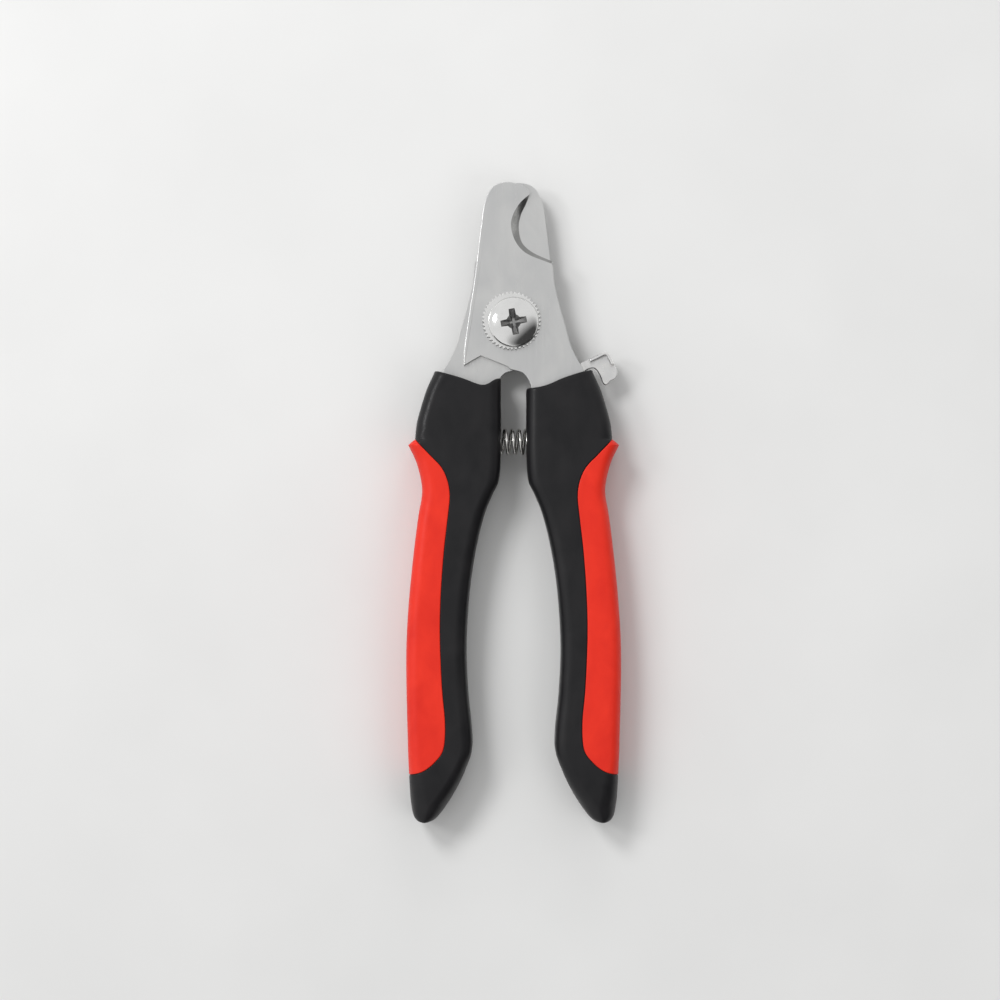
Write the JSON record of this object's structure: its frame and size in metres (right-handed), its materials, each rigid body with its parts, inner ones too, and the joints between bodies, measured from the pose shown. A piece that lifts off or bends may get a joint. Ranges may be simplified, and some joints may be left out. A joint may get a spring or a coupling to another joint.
{
  "type": "pet nail trimmer",
  "caption": "Plier-style pet nail trimmer: two sprung levers with notched steel blades on one pivot, moulded handles with soft grips, and a thumb lock.",
  "frame": {"origin": "middle of the bounding box in plan, at the back face of the handles that the closed trimmer lies on", "axes": "+Y along the trimmer from the handle ends to the blade tips, +Z out of its front face, +X to its right seen from the front"},
  "size_m": [0.051, 0.152, 0.0123],
  "materials": {
    "blade_steel": "satin, finely ground",
    "hardware_chrome": "polished",
    "spring_steel": "bright drawn wire",
    "lock_steel": "satin",
    "handle_plastic": "semi-gloss moulded",
    "grip_rubber": "soft satin",
    "nylon": "matt"
  },
  "bodies": {
    "left_lever": {"left_handle": "handle_plastic", "left_grip": "grip_rubber", "rear_blade": "blade_steel", "pivot_screw": "hardware_chrome", "toothed_washer": "hardware_chrome", "pivot_bush": "lock_steel", "wave_washer": "lock_steel", "lock_nut": "lock_steel", "nut_ring": "nylon", "handle_spring": "spring_steel"},
    "right_lever": {"right_handle": "handle_plastic", "right_grip": "grip_rubber", "front_blade": "blade_steel", "lock_rivet": "lock_steel", "lock_wave_washer": "lock_steel"},
    "lock": {"lock_lever": "lock_steel"}
  },
  "joints": [
    {"name": "handle_pivot", "type": "hinge", "parent": "left_lever", "child": "right_lever", "pos_m": [0, 0.0426, 0.006], "axis": [0, 0, 1], "range_deg": [0, 22], "stiffness_Nm_per_rad": 0.33, "springref_deg": 28.65, "deforming": ["handle_spring"]},
    {"name": "lock_pivot", "type": "hinge", "parent": "right_lever", "child": "lock", "pos_m": [0.0095, 0.0268, 0.006], "axis": [0, 0, 1], "range_deg": [0, 20]}
  ]
}
